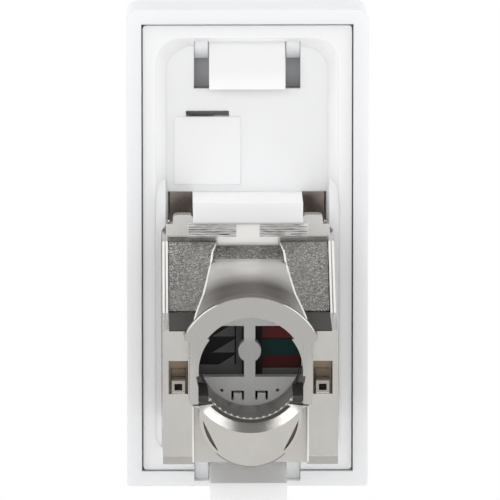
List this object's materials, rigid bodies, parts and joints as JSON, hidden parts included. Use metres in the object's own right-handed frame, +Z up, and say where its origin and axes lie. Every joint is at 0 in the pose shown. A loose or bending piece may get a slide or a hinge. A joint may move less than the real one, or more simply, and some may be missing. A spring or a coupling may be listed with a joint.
{
  "type": "ethernet wall socket module",
  "caption": "Half-width snap-in wall socket module in white plastic with a shielded metal network jack and a hinged cable clamp at its rear.",
  "frame": {"origin": "centre of the rear rim of the front frame, in the plane that meets the mounting frame", "axes": "+Y towards the user's side with the port, +Z up, +X to the right as seen from the rear"},
  "size_m": [0.0226, 0.0328, 0.0451],
  "materials": {
    "white_plastic": "satin",
    "plated_zinc": "satin",
    "cast_zinc": "rough",
    "grey_plastic": "satin",
    "dark_plastic": "satin",
    "label_dark": "satin",
    "label_colour": "satin",
    "board": "satin",
    "steel": "satin",
    "gold_contact": "polished"
  },
  "bodies": {
    "socket": {"bezel": "white_plastic", "carrier": "white_plastic", "jack_housing": "plated_zinc", "hinge_pin_left": "steel", "hinge_pin_right": "steel", "cable_saddle": "plated_zinc", "wire_manager": "grey_plastic", "code_label_left": "label_dark", "code_label_right": "label_colour", "idc_block": "dark_plastic", "circuit_board": "board", "contact_insert": "dark_plastic", "shield_spring_left": "steel", "shield_spring_right": "steel", "idc_contact_1": "steel", "idc_contact_2": "steel", "idc_contact_3": "steel", "idc_contact_4": "steel", "idc_contact_5": "steel", "idc_contact_6": "steel", "idc_contact_7": "steel", "idc_contact_8": "steel", "plug_contact_1": "gold_contact", "plug_contact_2": "gold_contact", "plug_contact_3": "gold_contact", "plug_contact_4": "gold_contact", "plug_contact_5": "gold_contact", "plug_contact_6": "gold_contact", "plug_contact_7": "gold_contact", "plug_contact_8": "gold_contact"},
    "cover": {"clamp_cover": "cast_zinc"}
  },
  "joints": [
    {"name": "cover_hinge", "type": "hinge", "parent": "socket", "child": "cover", "pos_m": [0, -0.005, 0.00055], "axis": [-1, 0, 0], "range_deg": [0, 80]}
  ]
}
